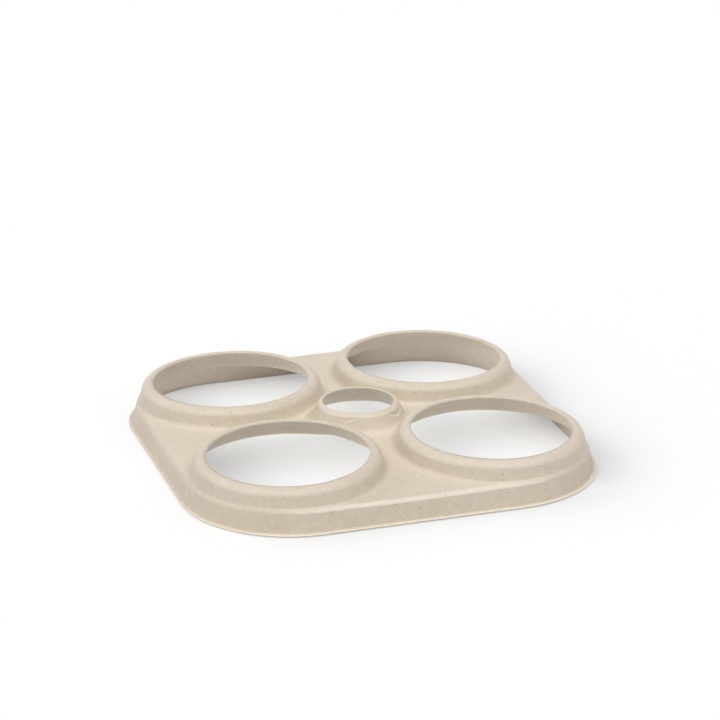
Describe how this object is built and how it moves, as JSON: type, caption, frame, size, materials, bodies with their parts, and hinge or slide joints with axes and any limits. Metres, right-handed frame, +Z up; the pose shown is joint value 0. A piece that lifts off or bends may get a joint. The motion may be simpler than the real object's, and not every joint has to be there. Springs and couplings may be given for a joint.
{
  "type": "moulded pulp cup carrier",
  "caption": "Shallow square carrier moulded from plant-fibre pulp, with a raised collar round each cup hole, a finger hole in the middle and a narrow flange round its foot.",
  "frame": {"origin": "middle of the tray, on the surface that its flange stands on", "axes": "+Z up through the finger hole, X and Y along the sides of the square"},
  "size_m": [0.1942, 0.1942, 0.0214],
  "materials": {
    "pulp": "matt moulded plant-fibre pulp, pale beige, with fine fibres and a faint mark of the forming screen below"
  },
  "bodies": {
    "root": {"cup_carrier": "pulp"}
  },
  "joints": []
}
